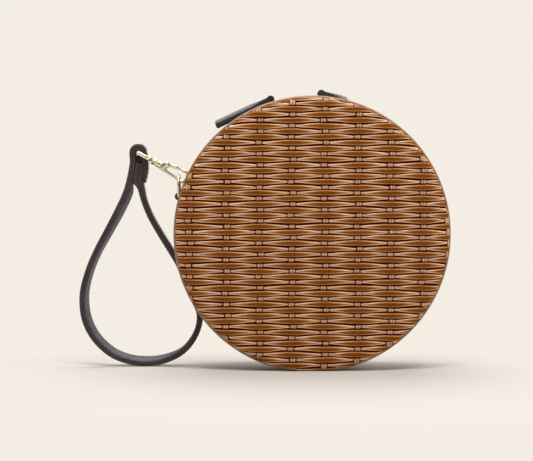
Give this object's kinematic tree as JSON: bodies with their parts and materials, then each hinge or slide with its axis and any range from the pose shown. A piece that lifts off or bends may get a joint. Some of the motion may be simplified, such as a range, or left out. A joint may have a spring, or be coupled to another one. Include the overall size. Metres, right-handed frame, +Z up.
{
  "type": "round rattan wristlet bag",
  "caption": "Round wicker wristlet bag with rolled rims, a leather gusset, a zip over the top with leather pulls, and a wrist strap on a swivel snap hook.",
  "frame": {"origin": "on the floor under the middle of the bag, on the flat of the gusset", "axes": "+X to the right seen from the front, away from the strap; +Y through the bag's depth, away from the viewer; +Z up"},
  "size_m": [0.2434, 0.06, 0.1829],
  "materials": {
    "rattan": "glossy woven rattan",
    "gusset_leather": "smooth tan leather",
    "dark_leather": "smooth dark brown leather with painted edges",
    "gold": "polished pale gold",
    "zip_tape": "woven tape"
  },
  "bodies": {
    "bag": {"front_panel": "rattan", "back_panel": "rattan", "gusset": "gusset_leather", "zip_band_front": "gusset_leather", "zip_band_back": "gusset_leather", "zip_tape": "zip_tape", "zip_chain": "gold", "slider_left": "gold", "slider_right": "gold", "ring_tab": "dark_leather", "d_ring": "gold", "hook_body": "gold", "swivel_eye": "gold", "wrist_strap": "dark_leather"},
    "pull_left": {"pull_left": "dark_leather"},
    "pull_right": {"pull_right": "dark_leather"},
    "hook_gate": {"hook_gate": "gold"}
  },
  "joints": [
    {"name": "left_pull_swing", "type": "hinge", "parent": "bag", "child": "pull_left", "pos_m": [-0.0269, 0, 0.17661], "axis": [0, 1, 0], "range_deg": [0, 110]},
    {"name": "right_pull_swing", "type": "hinge", "parent": "bag", "child": "pull_right", "pos_m": [0.00642, 0, 0.18041], "axis": [0, -1, 0], "range_deg": [0, 100]},
    {"name": "gate_open", "type": "hinge", "parent": "bag", "child": "hook_gate", "pos_m": [-0.09525, 0, 0.13348], "axis": [0, 1, 0], "range_deg": [0, 22], "stiffness_Nm_per_rad": 0.02, "springref_deg": -17.19}
  ]
}
